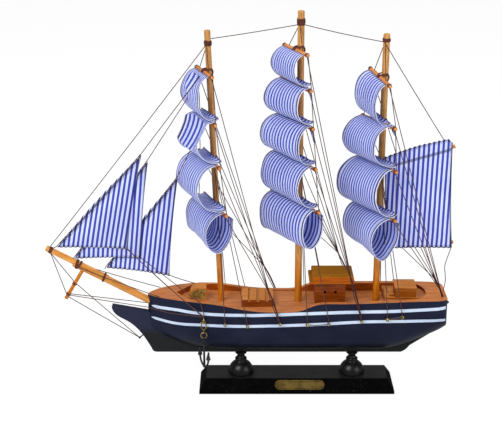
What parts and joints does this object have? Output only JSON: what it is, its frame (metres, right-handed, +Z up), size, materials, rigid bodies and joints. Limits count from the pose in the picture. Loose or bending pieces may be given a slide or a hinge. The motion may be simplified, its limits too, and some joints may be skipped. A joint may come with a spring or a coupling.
{
  "type": "model sailing ship",
  "caption": "Three-masted wooden model sailing ship with curled striped cloth sails, thread rigging and a hanging anchor, on a black bevelled display stand.",
  "frame": {"origin": "centre of the flat underside of the display base, on the table", "axes": "+Z up out of the table; the bowsprit points toward -X and the stern toward +X; port side faces -Y and starboard side faces +Y"},
  "size_m": [0.3283, 0.0658, 0.3117],
  "materials": {
    "black_iron": "black lacquer",
    "black_wood": "gloss black paint",
    "brass": "polished",
    "cabin_wood": "gloss varnish",
    "hull_paint": "gloss navy paint outside, varnished wood rail and deck",
    "keel_paint": "gloss dark paint",
    "olive_wood": "gloss varnish",
    "spar_wood": "gloss varnish",
    "steel": "zinc plated",
    "striped_cloth": "cotton, blue and white woven stripes",
    "thread": "twisted dark brown thread",
    "woven_brass": "woven, aged"
  },
  "bodies": {
    "ship": {"aft_cabin": "cabin_wood", "backstays": "thread", "base_plinth": "black_wood", "bow_rigging": "thread", "bowsprit": "spar_wood", "companion_lattice": "woven_brass", "dolphin_striker": "spar_wood", "flying_jib": "striped_cloth", "fore_companion": "cabin_wood", "fore_course_sail": "striped_cloth", "fore_course_yard": "spar_wood", "fore_deckhouse": "cabin_wood", "fore_royal_sail": "striped_cloth", "fore_royal_yard": "spar_wood", "fore_topgallant_sail": "striped_cloth", "fore_topgallant_yard": "spar_wood", "fore_topsail_sail": "striped_cloth", "fore_topsail_yard": "spar_wood", "foremast": "spar_wood", "hull": "hull_paint", "hull_eyelets": "brass", "hull_pins": "black_iron", "inner_jib": "striped_cloth", "jibboom": "spar_wood", "keel_cutwater": "keel_paint", "main_course_sail": "striped_cloth", "main_course_yard": "spar_wood", "main_royal_sail": "striped_cloth", "main_royal_yard": "spar_wood", "main_skysail_sail": "striped_cloth", "main_skysail_yard": "spar_wood", "main_topgallant_sail": "striped_cloth", "main_topgallant_yard": "spar_wood", "main_topsail_sail": "striped_cloth", "main_topsail_yard": "spar_wood", "mainmast": "spar_wood", "mizzen_crossjack_sail": "striped_cloth", "mizzen_crossjack_yard": "spar_wood", "mizzen_royal_sail": "striped_cloth", "mizzen_royal_yard": "spar_wood", "mizzen_topgallant_sail": "striped_cloth", "mizzen_topgallant_yard": "spar_wood", "mizzen_topsail_sail": "striped_cloth", "mizzen_topsail_yard": "spar_wood", "mizzenmast": "spar_wood", "name_plate": "brass", "outer_jib": "striped_cloth", "rope_lashings": "thread", "sail_sheets": "thread", "spanker_boom": "spar_wood", "spanker_gaff": "spar_wood", "spanker_sail": "striped_cloth", "stand_post_aft": "black_wood", "stand_post_fore": "black_wood", "stand_screws": "steel", "stays": "thread", "wheelhouse": "cabin_wood", "wheelhouse_roof": "olive_wood"},
    "clasp": {"anchor_clasp": "brass"},
    "anchor": {"anchor": "black_iron"}
  },
  "joints": [
    {"name": "clasp_swing", "type": "hinge", "parent": "ship", "child": "clasp", "pos_m": [-0.0754, -0.02548, 0.0684], "axis": [0, 1, 0], "range_deg": [-20, 40]},
    {"name": "anchor_swing", "type": "hinge", "parent": "clasp", "child": "anchor", "pos_m": [-0.0754, -0.02548, 0.05325], "axis": [-1, 0, 0], "range_deg": [0, 70]}
  ]
}
